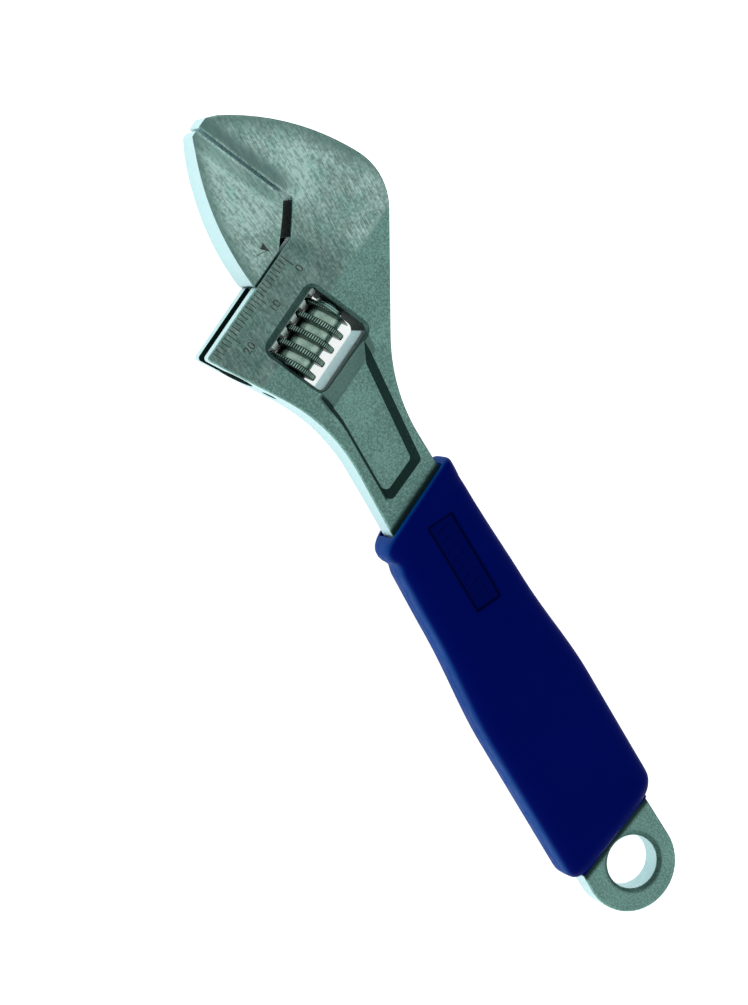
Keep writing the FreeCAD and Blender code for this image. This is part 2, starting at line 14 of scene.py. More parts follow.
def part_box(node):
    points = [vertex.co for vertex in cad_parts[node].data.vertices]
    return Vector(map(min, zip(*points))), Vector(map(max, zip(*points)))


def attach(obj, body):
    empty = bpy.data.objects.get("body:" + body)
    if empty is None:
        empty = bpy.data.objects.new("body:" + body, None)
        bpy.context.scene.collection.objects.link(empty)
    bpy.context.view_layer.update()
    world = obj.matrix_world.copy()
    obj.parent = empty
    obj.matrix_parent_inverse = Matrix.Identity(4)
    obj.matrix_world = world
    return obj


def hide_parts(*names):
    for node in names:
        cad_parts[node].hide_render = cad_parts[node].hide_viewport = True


MM = 0.001
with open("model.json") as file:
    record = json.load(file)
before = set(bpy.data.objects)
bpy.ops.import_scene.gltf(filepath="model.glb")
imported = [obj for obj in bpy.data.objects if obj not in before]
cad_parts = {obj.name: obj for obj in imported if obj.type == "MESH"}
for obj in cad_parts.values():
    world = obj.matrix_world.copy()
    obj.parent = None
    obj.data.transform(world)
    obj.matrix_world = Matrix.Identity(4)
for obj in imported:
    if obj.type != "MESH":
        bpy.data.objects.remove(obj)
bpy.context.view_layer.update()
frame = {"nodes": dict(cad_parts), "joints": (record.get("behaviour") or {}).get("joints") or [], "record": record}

# ---- places taken from the frame ---------------------------------------------------
slide_joint = next(j for j in frame["joints"] if j["name"] == "jaw_slide")
worm_joint = next(j for j in frame["joints"] if j["name"] == "worm_spin")
mounts = {m["name"]: m for m in frame["record"]["mounts"]}

UP = Vector((0, 0, 1))
SLIDE = Vector(slide_joint["axis"]).normalized()       # the way the jaw opens
JAWS = SLIDE.cross(UP).normalized()                    # along the jaws, to their tips
WORM_AXIS = Vector(worm_joint["pos_m"])
EYE = Vector(mounts["hang_hole"]["pos_m"]) + Vector((0, 0.5 * MM, 0))
HEAD_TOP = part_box("movable_jaw")[1][2]
MIDDLE = EYE.z                # height of the mid-plane
MERGE = 1e-7                  # corners closer than this become one
SAME_PLACE = 1e-6

JAW_REACH = 28.8 * MM         # from the bed to the tips
REST_GAP = 0.8 * MM
MOUNT_REACH = 0.6             # place of the jaw_mouth mount along the jaws, as a share of them
KEY_DEPTH = 8.5               # millimetres from the bed to the axis of the key
HEAD_POINT = Vector(mounts["jaw_mouth"]["pos_m"]) - JAWS * MOUNT_REACH * JAW_REACH - SLIDE * REST_GAP / 2


def on_head(p, q, height):
    """Point p along the jaws and q along the slide, at a height above the floor."""
    point = HEAD_POINT + JAWS * p + SLIDE * q
    return Vector((point.x, point.y, height))


# ---- meshes ---------------------------------------------------------------------------
def finished(bm, name, material, body, smooth=35):
    """Turn a bmesh into a piece that rides on a body."""
    mesh = bpy.data.meshes.new(name)
    bm.to_mesh(mesh)
    bm.free()
    piece = bpy.data.objects.new(name, mesh)
    bpy.context.collection.objects.link(piece)
    mesh.materials.append(material)
    mesh.shade_smooth()
    mesh.set_sharp_from_angle(angle=math.radians(smooth))
    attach(piece, body)
    return piece


# ---- node helpers ------------------------------------------------------------------------
def add(tree, kind, **inputs):
    """New shader node with some of its inputs set or linked."""
    made = tree.nodes.new("ShaderNode" + kind)
    for name, value in inputs.items():
        plug(tree, made.inputs[name.replace("_", " ")], value)
    return made


def plug(tree, socket, value):
    """Set a socket to a value, or link it to another socket."""
    if isinstance(value, bpy.types.NodeSocket):
        tree.links.new(value, socket)
    else:
        socket.default_value = value


def math_node(tree, operation, *values):
    """Output of one Math node."""
    made = tree.nodes.new("ShaderNodeMath")
    made.operation = operation
    for socket, value in zip(made.inputs, values):
        plug(tree, socket, value)
    return made.outputs[0]


def vector_node(tree, operation, output, *values):
    """Output of one Vector Math node."""
    made = tree.nodes.new("ShaderNodeVectorMath")
    made.operation = operation
    for socket, value in zip(made.inputs, values):
        plug(tree, socket, value)
    return made.outputs[output]


def ramp(tree, value, low, high, to_low=0.0, to_high=1.0):
    """Value brought smoothly from the range low..high to to_low..to_high."""
    made = tree.nodes.new("ShaderNodeMapRange")
    made.interpolation_type = "SMOOTHSTEP"
    for name, number in (("Value", value), ("From Min", low), ("From Max", high),
                         ("To Min", to_low), ("To Max", to_high)):
        plug(tree, made.inputs[name], number)
    return made.outputs["Result"]


def mixed(tree, factor, first, second, blend="MIX"):
    """Colour between two colours."""
    made = tree.nodes.new("ShaderNodeMix")
    made.data_type = "RGBA"
    made.blend_type = blend
    plug(tree, made.inputs["Factor"], factor)
    plug(tree, made.inputs["A"], first)
    plug(tree, made.inputs["B"], second)
    return made.outputs["Result"]


def new_group(name, inputs, outputs):
    """Empty shader group with (name, kind, default) inputs and (name, kind) outputs."""
    group = bpy.data.node_groups.new(name, "ShaderNodeTree")
    for label, kind, default in inputs:
        socket = group.interface.new_socket(label, in_out="INPUT", socket_type="NodeSocket" + kind)
        if default is not None:
            socket.default_value = default
    for label, kind in outputs:
        group.interface.new_socket(label, in_out="OUTPUT", socket_type="NodeSocket" + kind)
    return group, group.nodes.new("NodeGroupInput").outputs, group.nodes.new("NodeGroupOutput").inputs


def use(tree, group, **inputs):
    """Place a group in a tree; gives its outputs."""
    made = tree.nodes.new("ShaderNodeGroup")
    made.node_tree = group
    for name, value in inputs.items():
        plug(tree, made.inputs[name.replace("_", " ")], value)
    return made.outputs


# ---- surface effects that several finishes share ---------------------------------------------
def make_brushed_lines():
    """Fine lines left by a belt, running along the X of the vector given."""
    tree, given, out = new_group(
        "brushed lines",
        [("Vector", "Vector", None), ("Length", "Float", 9.0), ("Width", "Float", 0.18)],
        [("Height", "Float"), ("Tone", "Float")])
    across = math_node(tree, "DIVIDE", 1 / MM, given["Width"])
    along = math_node(tree, "DIVIDE", 1 / MM, given["Length"])
    scale = add(tree, "CombineXYZ", X=along, Y=across, Z=across).outputs[0]
    place = vector_node(tree, "MULTIPLY", 0, given["Vector"], scale)
    fine = add(tree, "TexNoise", Vector=place, Scale=1.0, Detail=3.0, Roughness=0.6).outputs["Fac"]
    broad_place = vector_node(tree, "MULTIPLY", 0, place, (0.45, 0.3, 0.3))
    broad = add(tree, "TexNoise", Vector=broad_place, Scale=1.0, Detail=2.0).outputs["Fac"]
    both = math_node(tree, "ADD", math_node(tree, "MULTIPLY", fine, 0.65),
                     math_node(tree, "MULTIPLY", broad, 0.35))
    plug(tree, out["Height"], both)
    plug(tree, out["Tone"], ramp(tree, both, 0.32, 0.68))
    return tree


def make_blasted_grain():
    """Small even pits of a shot-blasted or cast surface."""
    tree, given, out = new_group(
        "blasted grain",
        [("Vector", "Vector", None), ("Size", "Float", 0.35)],
        [("Height", "Float"), ("Tone", "Float")])
    scale = math_node(tree, "DIVIDE", 1 / MM, given["Size"])
    grain = add(tree, "TexNoise", Vector=given["Vector"], Scale=scale, Detail=3.0,
                Roughness=0.55).outputs["Fac"]
    pits = add(tree, "TexVoronoi", Vector=given["Vector"], Scale=scale).outputs["Distance"]
    height = math_node(tree, "ADD", grain, math_node(tree, "MULTIPLY", pits, 0.4))
    plug(tree, out["Height"], height)
    plug(tree, out["Tone"], ramp(tree, grain, 0.3, 0.7))
    return tree


def make_mottle():
    """Soft cloudy change of tone over some millimetres."""
    tree, given, out = new_group(
        "mottle",
        [("Vector", "Vector", None), ("Size", "Float", 9.0)],
        [("Tone", "Float")])
    scale = math_node(tree, "DIVIDE", 1 / MM, given["Size"])
    cloud = add(tree, "TexNoise", Vector=given["Vector"], Scale=scale, Detail=4.0,
                Roughness=0.55).outputs["Fac"]
    plug(tree, out["Tone"], ramp(tree, cloud, 0.3, 0.7))
    return tree


def make_edge_wear():
    """Mask of worn edges: where a rounded-off normal parts from the true one."""
    tree, given, out = new_group(
        "edge wear",
        [("Vector", "Vector", None), ("Radius", "Float", 0.5 * MM), ("Breaks", "Float", 2.0)],
        [("Mask", "Float")])
    rounded = tree.nodes.new("ShaderNodeBevel")
    rounded.samples = 4
    plug(tree, rounded.inputs["Radius"], given["Radius"])
    true = tree.nodes.new("ShaderNodeNewGeometry").outputs["True Normal"]
    same = vector_node(tree, "DOT_PRODUCT", "Value", rounded.outputs[0], true)
    edge = ramp(tree, same, 0.98, 0.8)
    scale = math_node(tree, "DIVIDE", 1 / MM, given["Breaks"])
    noise = add(tree, "TexNoise", Vector=given["Vector"], Scale=scale, Detail=3.0).outputs["Fac"]
    plug(tree, out["Mask"], math_node(tree, "MULTIPLY", edge, ramp(tree, noise, 0.35, 0.6)))
    return tree


BRUSHED = make_brushed_lines()
BLASTED = make_blasted_grain()
MOTTLE = make_mottle()
WEAR = make_edge_wear()


# ---- finishes ---------------------------------------------------------------------------------
WORM_TIP = 6.0 * MM           # radius of the thread crest
BARREL_EDGE = (4.2 * MM, 5.2 * MM)   # radii between which the barrel turns into the thread

# Places on the steel and the grip are in millimetres: along the jaws and the slide
# from the head point, or along and across the handle from the eye.
CROWN_CENTRE = (-6.8, 36.3)   # of the arc of the crown
CROWN_RADIUS = 53.0
JAW_BACK_LEAN = (0.524, 0.852)       # square to the chord of the jaw's curved back
JAW_BACK_MIDDLE = 6.4         # of that chord, along it
JAW_BACK_HALF = 16.9
JAW_BACK_BULGE = 2.3
PANEL_LEFT = 5.4              # edge of the sunk panel on the movable jaw's side
PANEL_RIGHT = 6.6             # its other edge, at the mouth of the grip
PANEL_FLARE = 0.085           # how fast that edge leaves the handle axis
MOUTH_LEAN = math.tan(math.radians(22.5))
TAIL_LEAN = math.tan(math.radians(16.8))
LABEL_X = (68.9, 90.8)        # sunk label of the grip
LABEL_Y = (-4.9, 1.9)

STEEL_LIGHT = (0.56, 0.84, 0.765, 1)
STEEL_MID = (0.24, 0.46, 0.41, 1)
STEEL_DEEP = (0.13, 0.255, 0.225, 1)
# Pale steel for the painted highlight on the steep sides and for worn edges.
SIDE_SHEEN_AND_WORN_STEEL = (0.46, 0.655, 0.675, 1)
# Near black for the painted shade in hollows and on walls.
HOLLOW_SHADE_BLACK = (0.010, 0.030, 0.026, 1)
GROUND_DARK = (0.02, 0.06, 0.05, 1)
GREEN_TINT = (0.46, 0.84, 0.74, 1)
RAMP_STEEL = (0.09, 0.165, 0.145, 1)
# Steel for the painted shade in the hollows along the jaw faces.
SCOOP_SHADE_STEEL = (0.12, 0.225, 0.215, 1)
# Very pale steel for the painted highlight on the rack teeth.
TOOTH_HIGHLIGHT_STEEL = (0.86, 1.0, 0.96, 1)
BARREL_DEEP = (0.26, 0.46, 0.38, 1)
BARREL_LIGHT = (0.74, 1.0, 0.86, 1)
THREAD_DEEP = (0.085, 0.16, 0.14, 1)
THREAD_LIGHT = (0.14, 0.24, 0.21, 1)
THREAD_LAND = (0.36, 0.56, 0.48, 1)
KNURL_GROOVE_SHADE = (0.02, 0.04, 0.034, 1)
WORM_HOLLOW_SHADE = (0.008, 0.020, 0.016, 1)
ENGRAVED = (0.020, 0.026, 0.020, 1)
ENGRAVED_LIGHT = (0.09, 0.14, 0.12, 1)
GRIP_TOP = (0.0002, 0.0030, 0.090, 1)
GRIP_SIDE_HIGHLIGHT = (0.0003, 0.048, 0.23, 1)
GRIP_LABEL_DARK_AND_SHADE = (0.0002, 0.0008, 0.020, 1)
GRIP_CLOUD = (0.0005, 0.004, 0.11, 1)
GRIP_SEAM = (0.004, 0.07, 0.36, 1)


def new_material(name):
    """Material with its tree, its main shader and the Object coordinates."""
    material = bpy.data.materials.new(name)
    material.use_nodes = True
    tree = material.node_tree
    return material, tree, tree.nodes["Principled BSDF"], tree.nodes.new("ShaderNodeTexCoord").outputs


def bumped(tree, height, strength, depth):
    """Normal of a surface with a small relief."""
    made = add(tree, "Bump", Height=height, Strength=strength, Distance=depth)
    return made.outputs["Normal"]


def steepness(tree, normal):
    """How far a surface leans away from lying flat: 0 on the faces, 1 on the sides."""
    z = add(tree, "SeparateXYZ", Vector=normal).outputs["Z"]
    return math_node(tree, "SUBTRACT", 1.0, math_node(tree, "ABSOLUTE", z))


def band(tree, value, start, rise, fall, end):
    """1 between rise and fall, fading to 0 at start and end."""
    return math_node(tree, "MULTIPLY", ramp(tree, value, start, rise),
                     ramp(tree, value, fall, end, 1.0, 0.0))


def between(tree, value, low, high, soft):
    """1 where a value lies between two limits, fading over soft at both."""
    inside = ramp(tree, value, low - soft, low + soft)
    return math_node(tree, "MULTIPLY", inside, ramp(tree, value, high - soft, high + soft, 1.0, 0.0))


def together(tree, *masks):
    """Product of several masks."""
    result = masks[0]
    for mask in masks[1:]:
        result = math_node(tree, "MULTIPLY", result, mask)
    return result


def either(tree, *masks):
    """Largest of several masks."""
    result = masks[0]
    for mask in masks[1:]:
        result = math_node(tree, "MAXIMUM", result, mask)
    return result


class SteelPlaces:
    """Masks that say where on the wrench a point of a steel face lies."""

    def __init__(self, tree, coords):
        self.tree = tree
        self.place = coords["Object"]
        self.lean = steepness(tree, coords["Normal"])
        facing = add(tree, "SeparateXYZ", Vector=coords["Normal"]).outputs["Y"]
        self.turned_away = ramp(tree, facing, -0.1, -0.4)
        self.p = self.measured(JAWS)
        self.q = self.measured(SLIDE)
        from_eye = vector_node(tree, "SUBTRACT", 0, self.place, tuple(EYE))
        split = add(tree, "SeparateXYZ", Vector=from_eye).outputs
        self.x = math_node(tree, "DIVIDE", split["X"], MM)
        self.y = math_node(tree, "DIVIDE", split["Y"], MM)
        height = add(tree, "SeparateXYZ", Vector=self.place).outputs["Z"]
        self.above = math_node(tree, "DIVIDE", math_node(tree, "SUBTRACT", height, MIDDLE), MM)
        self.off_middle = math_node(tree, "ABSOLUTE", math_node(tree, "SUBTRACT", height, MIDDLE))
        self.side = ramp(tree, self.lean, 0.70, 0.93)
        self.slope = band(tree, self.lean, 0.06, 0.16, 0.64, 0.84)
        self.flat = ramp(tree, self.lean, 0.16, 0.03)

    def y_of_panel(self):
        """Distance beyond the edge of the panel on the movable jaw's side, in millimetres."""
        knee = ramp(self.tree, self.x, 117.0, 129.0, 0.0, 1.3)
        return math_node(self.tree, "SUBTRACT", math_node(self.tree, "SUBTRACT", self.y, PANEL_LEFT), knee)

    def panel(self):
        """Mask of the sunk panel in the neck and of its walls."""
        flare = math_node(self.tree, "MULTIPLY", math_node(self.tree, "SUBTRACT", self.x, 103.0), PANEL_FLARE)
        low = math_node(self.tree, "ADD", math_node(self.tree, "ADD", self.y, PANEL_RIGHT), flare)
        return together(self.tree, between(self.tree, self.x, 99.0, 137.0, 0.3),
                        ramp(self.tree, low, -0.1, 0.1), ramp(self.tree, self.y_of_panel(), 0.9, 0.6))

    def panel_edge_shade(self):
        """Painted shade: soft dark line along the steep wall of the panel."""
        line = band(self.tree, self.y_of_panel(), -0.65, -0.2, 0.1, 0.5)
        return together(self.tree, line, between(self.tree, self.x, 100.2, 127.0, 0.5),
                        ramp(self.tree, self.off_middle, 3.0 * MM, 3.3 * MM))

    def far_edge_shade(self):
        """Painted shade on the rounded edges that face away from the movable jaw's side."""
        return math_node(self.tree, "MULTIPLY", together(self.tree, self.slope, self.turned_away), 0.7)

    def under_grip(self):
        """Shade on the steel where it goes into the grip, at both ends."""
        mouth = math_node(self.tree, "ADD", self.x, math_node(self.tree, "MULTIPLY", self.y, 0.414))
        tail = math_node(self.tree, "ADD", self.x, math_node(self.tree, "MULTIPLY", self.y, 0.302))
        inside = together(self.tree, ramp(self.tree, mouth, 98.2, 96.9), ramp(self.tree, tail, 5.6, 6.9))
        return together(self.tree, inside, ramp(self.tree, self.lean, 0.7, 0.4))

    def hole_rim(self):
        """Shade on the worn edge of the hanging hole."""
        across = math_node(self.tree, "ADD", self.y, 0.5)
        away = math_node(self.tree, "SQRT", math_node(
            self.tree, "ADD", math_node(self.tree, "MULTIPLY", self.x, self.x),
            math_node(self.tree, "MULTIPLY", across, across)))
        ring = together(self.tree, ramp(self.tree, away, 7.5, 6.6), ramp(self.tree, away, 6.0, 6.15))
        far = ramp(self.tree, math_node(self.tree, "ADD", self.x, across), 7.0, -9.0, 0.25, 0.75)
        return math_node(self.tree, "MULTIPLY", ring, far)

    def measured(self, way):
        """Distance from the head point along a direction, in millimetres."""
        along = vector_node(self.tree, "DOT_PRODUCT", "Value", self.place, tuple(way))
        off = math_node(self.tree, "SUBTRACT", along, HEAD_POINT.dot(way))
        return math_node(self.tree, "DIVIDE", off, MM)

    def block(self, p_low, p_high, q_low, q_high, soft=0.12):
        """Mask of a block between two places along the jaws and the slide."""
        return math_node(self.tree, "MULTIPLY", between(self.tree, self.p, p_low, p_high, soft),
                         between(self.tree, self.q, q_low, q_high, soft))

    def near_key(self, reach):
        """Mask of what lies within reach of the axis of the sliding key, in millimetres."""
        up = math_node(self.tree, "DIVIDE", self.off_middle, MM)
        out = math_node(self.tree, "ADD", self.p, KEY_DEPTH)
        distance = math_node(self.tree, "SQRT", math_node(
            self.tree, "ADD", math_node(self.tree, "POWER", up, 2.0),
            math_node(self.tree, "MULTIPLY", out, out)))
        return ramp(self.tree, distance, reach + 0.1, reach - 0.1)


def along_beam(at):
    """The face beside the panel, on the movable jaw's side, is a little darker."""
    tree = at.tree
    return math_node(tree, "MULTIPLY", ramp(tree, at.y_of_panel(), 0.0, 1.0, 0.0, 0.22),
                     ramp(tree, at.x, 90.0, 100.0))


def body_highlight_and_grind(at):
    """Painted highlight on the ground face of the body, brightest behind the fixed jaw; partly brighter grinding.
    """
    tree = at.tree
    across = ramp(tree, at.q, 9.0, -5.0, 0.30, 0.62)
    p = math_node(tree, "SUBTRACT", at.p, 6.0)
    q = math_node(tree, "ADD", at.q, 5.0)
    away = math_node(tree, "SQRT", math_node(tree, "ADD", math_node(tree, "MULTIPLY", p, p),
                                             math_node(tree, "MULTIPLY", q, q)))
    return math_node(tree, "ADD", across, ramp(tree, away, 8.0, 1.0, 0.0, 0.36))


def jaw_highlight_and_grind(at):
    """Painted highlight on the ground face of the movable jaw, brightest towards its tip; partly brighter
    grinding.
    """
    return ramp(at.tree, at.p, -1.0, 17.0, 0.52, 0.92)


def steel_surface(name, ground_from, working_edge, grain_angle, hollows, light, rim, scoop, painted_highlight=None):
    """Steel ground on the head and blasted behind a line across it.

    ground_from is where the grinding starts along the jaws, working_edge
    where the jaw face is along the slide, hollows gives the painted shade that
    blackens hollows and walls, light the painted highlight on the ground face,
    partly brighter grinding, rim the shaded outer edge and scoop how strongly
    painted shade tones the hollow at the jaw face. The last argument, if given,
    marks the places with a painted highlight.
    """
    material, tree, shader, coords = new_material(name)
    at = SteelPlaces(tree, coords)

    turned = add(tree, "Mapping", Vector=at.place)
    turned.inputs["Rotation"].default_value = (0, 0, grain_angle)
    lines = use(tree, BRUSHED, Vector=turned.outputs[0], Length=2.6, Width=0.22)
    grain = use(tree, BLASTED, Vector=at.place, Size=0.42)
    cloud = use(tree, MOTTLE, Vector=at.place, Size=9.0)
    spark = use(tree, MOTTLE, Vector=at.place, Size=0.7)

    brushed = together(tree, ramp(tree, at.p, ground_from - 0.8, ground_from + 0.8), at.flat)
    # Painted highlight, partly brighter grinding, sets how bright the ground face is.
    shine = light(at)
    streaks = ramp(tree, lines["Tone"], 0, 1, 0.66, 1.34)
    sparks = ramp(tree, spark["Tone"], 0, 1, 0.76, 1.24)
    clouds = ramp(tree, cloud["Tone"], 0, 1, 0.86, 1.14)
    tone = together(tree, shine, streaks, sparks, clouds)
    ground = mixed(tree, tone, GROUND_DARK, STEEL_LIGHT)
    tint = use(tree, MOTTLE, Vector=at.place, Size=5.0)["Tone"]
    ground = mixed(tree, ramp(tree, tint, 0.45, 0.9, 0.0, 0.30), ground, GREEN_TINT, "MULTIPLY")
    speckle = math_node(tree, "ADD", math_node(tree, "MULTIPLY", grain["Tone"], 1.2),
                        math_node(tree, "MULTIPLY", cloud["Tone"], 0.35))
    speckle = math_node(tree, "SUBTRACT", speckle, 0.30)
    speckle = math_node(tree, "SUBTRACT", speckle, along_beam(at))
    blasted = mixed(tree, speckle, STEEL_DEEP, STEEL_MID)
    sloping = together(tree, at.panel(), between(tree, at.p, -29.0, -24.6, 0.35))
    blasted = mixed(tree, math_node(tree, "MULTIPLY", sloping, 0.80), blasted, RAMP_STEEL)
    colour = mixed(tree, brushed, blasted, ground)

    # Painted shade in the hollow along the working edge: dull and a little blue.
    from_edge = math_node(tree, "ABSOLUTE", math_node(tree, "SUBTRACT", at.q, working_edge))
    scoop_shade = together(tree, band(tree, from_edge, 0.2, 0.7, 1.8, 4.2), ramp(tree, at.p, 4.0, 9.0),
                       ramp(tree, at.lean, 0.5, 0.3))
    patchy_scoop_shade = math_node(tree, "MULTIPLY", ramp(tree, spark["Tone"], 0, 1, 0.70, 1.0), scoop)
    colour = mixed(tree, math_node(tree, "MULTIPLY", scoop_shade, patchy_scoop_shade), colour, SCOOP_SHADE_STEEL)
    shaded = together(tree, rim(at), ramp(tree, at.lean, 0.5, 0.3), brushed)
    colour = mixed(tree, math_node(tree, "MULTIPLY", shaded, 0.75), colour, STEEL_DEEP)

    # Painted highlight: the steep sides are paler steel.
    colour = mixed(tree, at.side, colour, SIDE_SHEEN_AND_WORN_STEEL)
    # Painted shade on the sloping walls of the window and the panel, along the panel's steep wall, round the hole,
    # on the far rounded edges and where the steel goes into the grip.
    behind = ramp(tree, at.p, -6.5, -7.5)
    round_window = at.block(-26.2, -8.2, 11.0, 30.5)
    walls = together(tree, at.slope, behind, either(tree, round_window, at.panel()))
    walls = math_node(tree, "MULTIPLY", walls, ramp(tree, round_window, 0.0, 1.0, 1.0, 0.66))
    walls = either(tree, walls, at.panel_edge_shade(), at.hole_rim(), at.far_edge_shade(), at.under_grip())
    worn = use(tree, WEAR, Vector=at.place, Radius=0.3 * MM, Breaks=1.6)["Mask"]
    worn = math_node(tree, "MULTIPLY", worn, ramp(tree, walls, 0.3, 0.0, 0.0, 0.5))
    colour = mixed(tree, worn, colour, SIDE_SHEEN_AND_WORN_STEEL)
    # Painted shade, near black, in the hollows and on the walls.
    dark = either(tree, math_node(tree, "MULTIPLY", walls, 0.95), hollows(at))
    colour = mixed(tree, dark, colour, HOLLOW_SHADE_BLACK)
    # Painted highlight on the tips of the rack teeth.
    if painted_highlight:
        colour = mixed(tree, painted_highlight(at), colour, TOOTH_HIGHLIGHT_STEEL)
    plug(tree, shader.inputs["Base Color"], colour)

    rough = ramp(tree, brushed, 0.0, 1.0, 0.46, 0.34)
    rough = math_node(tree, "ADD", rough, ramp(tree, spark["Tone"], 0.0, 1.0, -0.04, 0.05))
    rough = math_node(tree, "ADD", rough, math_node(tree, "MULTIPLY", dark, 0.25))
    plug(tree, shader.inputs["Roughness"], rough)
    shader.inputs["Metallic"].default_value = 1.0

    tiny = add(tree, "Mix", Factor=brushed)
    plug(tree, tiny.inputs["A"], grain["Height"])
    plug(tree, tiny.inputs["B"], lines["Height"])
    plug(tree, shader.inputs["Normal"], bumped(tree, tiny.outputs[0], 0.45, 0.03 * MM))
    return material


def body_hollow_shade(at):
    """Painted shade that blackens the throat, slot, key bore and near walls of the window of the body."""
    tree = at.tree
    throat = together(tree, at.block(-0.3, 4.2, -0.3, 6.9), at.side)
    slot = together(tree, ramp(tree, at.off_middle, 2.35 * MM, 2.20 * MM), at.block(-9.0, 0.25, 6.8, 60.0))
    bore = together(tree, at.near_key(4.0), between(tree, at.q, -6.2, 37.8, 0.2))
    near_wall = together(tree, at.block(-10.2, -8.8, 10.0, 31.0), at.side)
    start_wall = together(tree, at.block(-25.6, -8.8, 10.0, 13.2), at.side)
    far_wall = together(tree, at.block(-25.8, -24.6, 12.0, 29.4), ramp(tree, at.above, 1.6, 3.2),
                        ramp(tree, at.lean, 0.5, 0.8))
    inside = ramp(tree, at.off_middle, 5.2 * MM, 4.6 * MM)
    walls = together(tree, either(tree, near_wall, start_wall), inside)
    return either(tree, throat, slot, bore, walls, math_node(tree, "MULTIPLY", far_wall, 0.72))


def jaw_hollow_shade(at):
    """Painted shade that blackens the relief, web and the key above the teeth of the jaw."""
    tree = at.tree
    relief = together(tree, at.block(-0.5, 5.75, -1.0, 11.3), at.side)
    relief = either(tree, relief, at.block(-0.5, 0.50, 10.5, 20.0, 0.2))
    key = ramp(tree, at.p, -0.1, -0.3)
    teeth = ramp(tree, at.p, -10.1, -10.6)
    key = math_node(tree, "MULTIPLY", math_node(tree, "SUBTRACT", key, teeth), 0.72)
    return either(tree, relief, key)


def rack_tooth_highlight(at):
    """Painted highlight on the tips of the rack teeth."""
    return ramp(at.tree, at.p, -10.2, -10.7)


def crown_rim(at):
    """Shade along the rounded outer edge of the crown."""
    tree = at.tree
    p = math_node(tree, "SUBTRACT", at.p, CROWN_CENTRE[0])
    q = math_node(tree, "SUBTRACT", at.q, CROWN_CENTRE[1])
    away = math_node(tree, "SQRT", math_node(tree, "ADD", math_node(tree, "MULTIPLY", p, p),
                                             math_node(tree, "MULTIPLY", q, q)))
    return ramp(tree, away, CROWN_RADIUS - 4.5, CROWN_RADIUS)


def jaw_rim(at):
    """Shade along the curved back of the movable jaw."""
    tree = at.tree
    lean_p, lean_q = JAW_BACK_LEAN
    out = math_node(tree, "ADD", math_node(tree, "MULTIPLY", at.p, lean_p),
                    math_node(tree, "MULTIPLY", at.q, lean_q))
    along = math_node(tree, "SUBTRACT", math_node(tree, "MULTIPLY", at.p, lean_q),
                      math_node(tree, "MULTIPLY", at.q, lean_p))
    along = math_node(tree, "DIVIDE", math_node(tree, "SUBTRACT", along, JAW_BACK_MIDDLE), JAW_BACK_HALF)
    bulge = math_node(tree, "MULTIPLY", math_node(tree, "MULTIPLY", along, along), JAW_BACK_BULGE)
    return ramp(tree, math_node(tree, "ADD", out, bulge), 16.3, 19.3)


def worm_finish():
    """Turned worm: pale barrel, dark knurled crest, with painted shade in its knurl grooves and where nearby faces
    close it in.
    """
    material, tree, shader, coords = new_material("worm_steel")
    place = coords["Object"]
    cloud = use(tree, MOTTLE, Vector=place, Size=1.8)
    grain = use(tree, BLASTED, Vector=place, Size=0.25)
    off = vector_node(tree, "SUBTRACT", 0, place, tuple(WORM_AXIS))
    radius = vector_node(tree, "LENGTH", "Value", vector_node(tree, "CROSS_PRODUCT", 0, off, tuple(SLIDE)))
    crest = ramp(tree, radius, *BARREL_EDGE)
    tone = math_node(tree, "ADD", math_node(tree, "MULTIPLY", cloud["Tone"], 0.6),
                     math_node(tree, "MULTIPLY", grain["Tone"], 0.4))
    barrel = mixed(tree, tone, BARREL_DEEP, BARREL_LIGHT)
    thread = mixed(tree, tone, THREAD_DEEP, THREAD_LIGHT)
    land = ramp(tree, radius, WORM_TIP - 0.12 * MM, WORM_TIP - 0.03 * MM)
    thread = mixed(tree, land, thread, THREAD_LAND)
    # Painted shade at the bottom of the knurl grooves.
    groove_shade = band(tree, radius, WORM_TIP - 0.36 * MM, WORM_TIP - 0.24 * MM,
                   WORM_TIP - 0.16 * MM, WORM_TIP - 0.06 * MM)
    thread = mixed(tree, groove_shade, thread, KNURL_GROOVE_SHADE)
    colour = mixed(tree, crest, barrel, thread)
    # Painted shade where nearby faces close the worm in.
    occlusion_shade = add(tree, "AmbientOcclusion", Distance=3.5 * MM).outputs["AO"]
    colour = mixed(tree, ramp(tree, occlusion_shade, 0.26, 0.70), WORM_HOLLOW_SHADE, colour)
    plug(tree, shader.inputs["Base Color"], colour)
    plug(tree, shader.inputs["Roughness"], ramp(tree, cloud["Tone"], 0, 1, 0.30, 0.42))
    shader.inputs["Metallic"].default_value = 1.0
    plug(tree, shader.inputs["Normal"], bumped(tree, grain["Height"], 0.3, 0.02 * MM))
    return material


def turned_steel(name, bright, deep, roughness):
    """Bright machined steel with a mottled tone and worn edges, for small parts."""
    material, tree, shader, coords = new_material(name)
    place = coords["Object"]
    cloud = use(tree, MOTTLE, Vector=place, Size=2.2)
    grain = use(tree, BLASTED, Vector=place, Size=0.25)
    tone = math_node(tree, "ADD", math_node(tree, "MULTIPLY", cloud["Tone"], 0.6),
                     math_node(tree, "MULTIPLY", grain["Tone"], 0.4))
    colour = mixed(tree, tone, deep, bright)
    worn = use(tree, WEAR, Vector=place, Radius=0.12 * MM, Breaks=0.8)["Mask"]
    colour = mixed(tree, math_node(tree, "MULTIPLY", worn, 0.6), colour, SIDE_SHEEN_AND_WORN_STEEL)
    plug(tree, shader.inputs["Base Color"], colour)
    plug(tree, shader.inputs["Roughness"], ramp(tree, cloud["Tone"], 0, 1, roughness, roughness + 0.12))
    shader.inputs["Metallic"].default_value = 1.0
    plug(tree, shader.inputs["Normal"], bumped(tree, grain["Height"], 0.3, 0.02 * MM))
    return material


